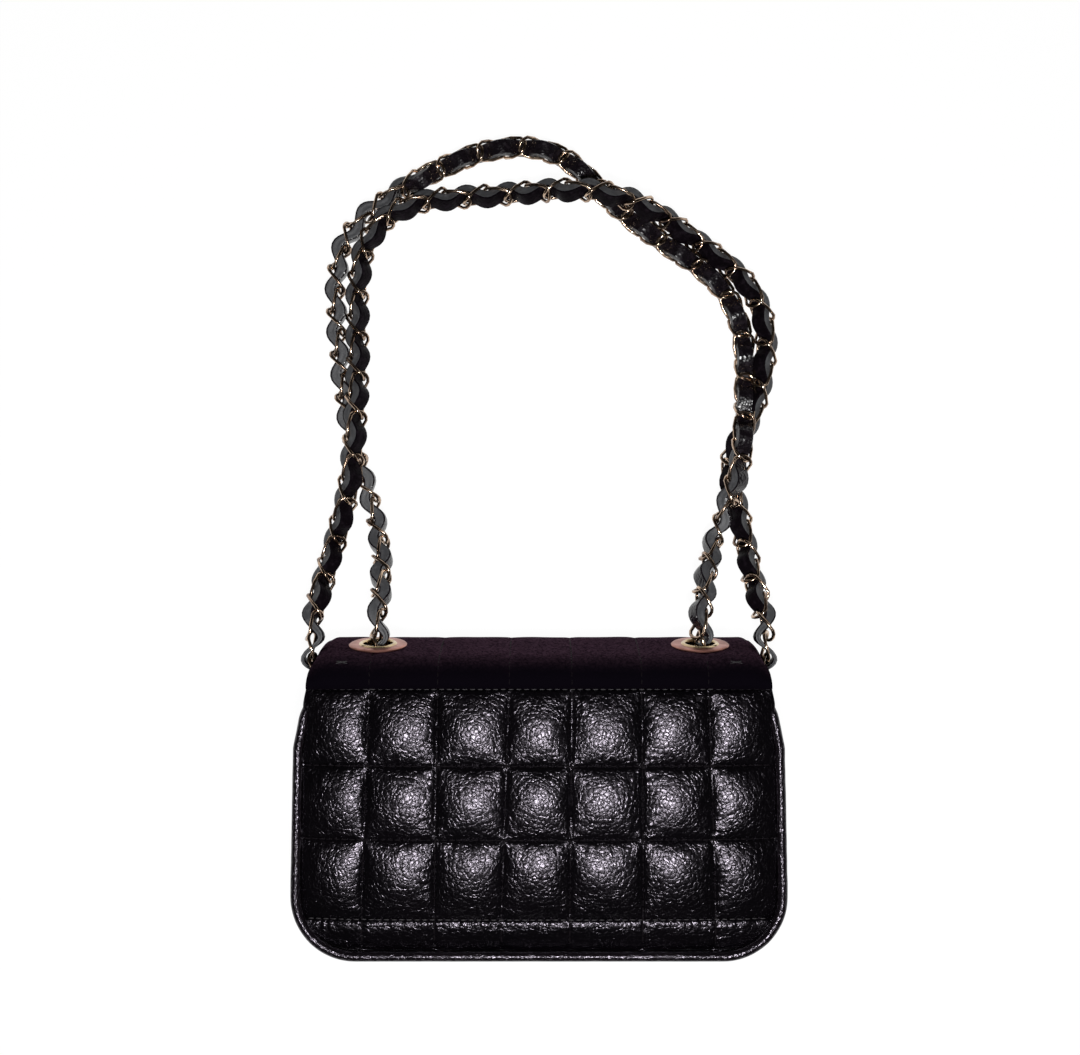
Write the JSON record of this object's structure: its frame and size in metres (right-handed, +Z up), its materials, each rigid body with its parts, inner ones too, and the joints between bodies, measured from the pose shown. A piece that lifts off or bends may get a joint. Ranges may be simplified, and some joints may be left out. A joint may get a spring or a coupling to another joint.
{
  "type": "chain shoulder bag",
  "caption": "Quilted leather shoulder bag with a fold-over flap, piped edges, metal eyelets and a chain strap woven with a leather ribbon, for carrying small things.",
  "frame": {"origin": "under the middle of the bag on the surface that it lies on, with the strap left out", "axes": "+X across the bag, +Y towards its top edge, +Z up out of the quilted back"},
  "size_m": [0.2064, 0.3428, 0.061],
  "materials": {
    "quilt_leather": "glossy pebbled",
    "ribbon_leather": "satin",
    "lining": "plain weave",
    "wadding": "soft",
    "board": "plain",
    "eyelet_metal": "satin rose gold plate",
    "snap_metal": "polished",
    "chain_metal": "polished pale gold plate"
  },
  "bodies": {
    "bag": {"back_cover": "quilt_leather", "back_padding": "wadding", "back_board": "board", "back_lining": "lining", "gusset": "quilt_leather", "gusset_lining": "lining", "base_board": "board", "front_panel": "quilt_leather", "front_board": "board", "front_lining": "lining", "back_piping": "quilt_leather", "front_piping": "quilt_leather", "bridge": "quilt_leather", "bridge_lining": "lining", "eyelet_left": "eyelet_metal", "eyelet_right": "eyelet_metal", "eyelet_washer_left": "eyelet_metal", "eyelet_washer_right": "eyelet_metal", "snap_socket": "snap_metal", "inner_pocket": "lining", "root_links": "chain_metal", "root_ribbons": "ribbon_leather"},
    "flap": {"flap_cover": "quilt_leather", "flap_padding": "wadding", "flap_lining": "lining", "snap_stud": "snap_metal"},
    "strap": {"strap_links_inner": "chain_metal", "strap_ribbon_inner": "ribbon_leather", "strap_links_outer": "chain_metal", "strap_ribbon_outer": "ribbon_leather"}
  },
  "joints": [
    {"name": "flap_fold", "type": "hinge", "parent": "bag", "child": "flap", "pos_m": [0, 0.0637, 0.0029], "axis": [1, 0, 0], "range_deg": [0, 150]},
    {"name": "strap_swing", "type": "hinge", "parent": "bag", "child": "strap", "pos_m": [0, 0.066, 0.0325], "axis": [1, 0, 0], "range_deg": [0, 130], "deforming": ["root_links", "root_ribbons"]}
  ]
}
